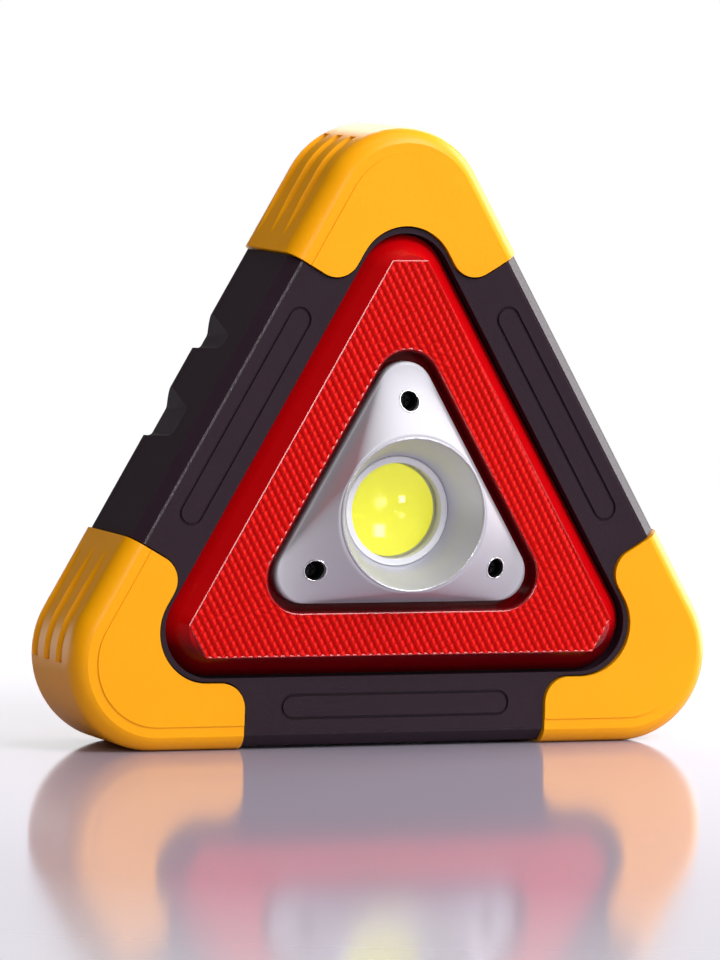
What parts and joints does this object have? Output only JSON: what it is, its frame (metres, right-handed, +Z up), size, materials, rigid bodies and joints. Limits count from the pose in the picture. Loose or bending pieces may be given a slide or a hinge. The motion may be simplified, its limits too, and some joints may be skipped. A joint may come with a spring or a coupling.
{
  "type": "warning triangle light",
  "caption": "Battery work light shaped as a warning triangle: red reflex lens round a silver cup, black body, yellow corner guards and a fold-out stand.",
  "frame": {"origin": "on the ground under the middle of the bounding box", "axes": "+X to the right seen from the front, +Y to the back, +Z up"},
  "size_m": [0.1902, 0.0488, 0.1715],
  "materials": {
    "guard_yellow": "tough moulded plastic, satin",
    "body_black": "fine-textured black plastic",
    "lens_red": "clear red plastic with prisms",
    "seal_rubber": "soft black rubber",
    "plate_silver": "satin metallised plastic",
    "screw_black": "black screws",
    "ring_grey": "light grey plastic",
    "lens_clear": "clear moulded lens",
    "phosphor_yellow": "yellow silicone over the chips",
    "sink_aluminium": "bare aluminium",
    "board_white": "white solder mask",
    "board_green": "green solder mask",
    "led_red": "red epoxy",
    "carrier_grey": "plain grey plastic",
    "steel_plain": "zinc-plated steel",
    "button_red": "soft red silicone",
    "cell_blue": "shrink wrap"
  },
  "bodies": {
    "body": {"bumper_top": "guard_yellow", "bumper_left": "guard_yellow", "bumper_right": "guard_yellow", "front_housing": "body_black", "rear_housing": "body_black", "battery_door": "body_black", "red_lens": "lens_red", "lens_gasket": "seal_rubber", "housing_seal": "seal_rubber", "reflector_plate": "plate_silver", "plate_screws": "screw_black", "lens_ring": "ring_grey", "cob_lens": "lens_clear", "cob_phosphor": "phosphor_yellow", "heat_sink": "sink_aluminium", "cob_base": "sink_aluminium", "red_led_board": "board_white", "control_board": "board_green", "red_leds": "led_red", "inner_carrier": "carrier_grey", "carrier_screws": "steel_plain", "housing_screws": "steel_plain", "door_screw": "steel_plain", "battery_contacts": "steel_plain", "charge_port": "steel_plain", "usb_port": "steel_plain", "tact_switch": "steel_plain", "battery_cells": "cell_blue"},
    "stand": {"stand_bail": "body_black", "stand_pins": "steel_plain"},
    "button": {"power_button": "button_red"},
    "flap": {"port_cover": "seal_rubber"}
  },
  "joints": [
    {"name": "stand_hinge", "type": "hinge", "parent": "body", "child": "stand", "pos_m": [0, 0.0201, 0.0775], "axis": [1, 0, 0], "range_deg": [0, 100]},
    {"name": "button_press", "type": "slide", "parent": "body", "child": "button", "axis": [0, -1, 0], "range_m": [0, 0.001], "stiffness_N_per_m": 900, "springref_m": -0.0008},
    {"name": "port_cover_hinge", "type": "hinge", "parent": "body", "child": "flap", "pos_m": [0, 0.0226, 0.0996], "axis": [1, 0, 0], "range_deg": [0, 90]}
  ]
}
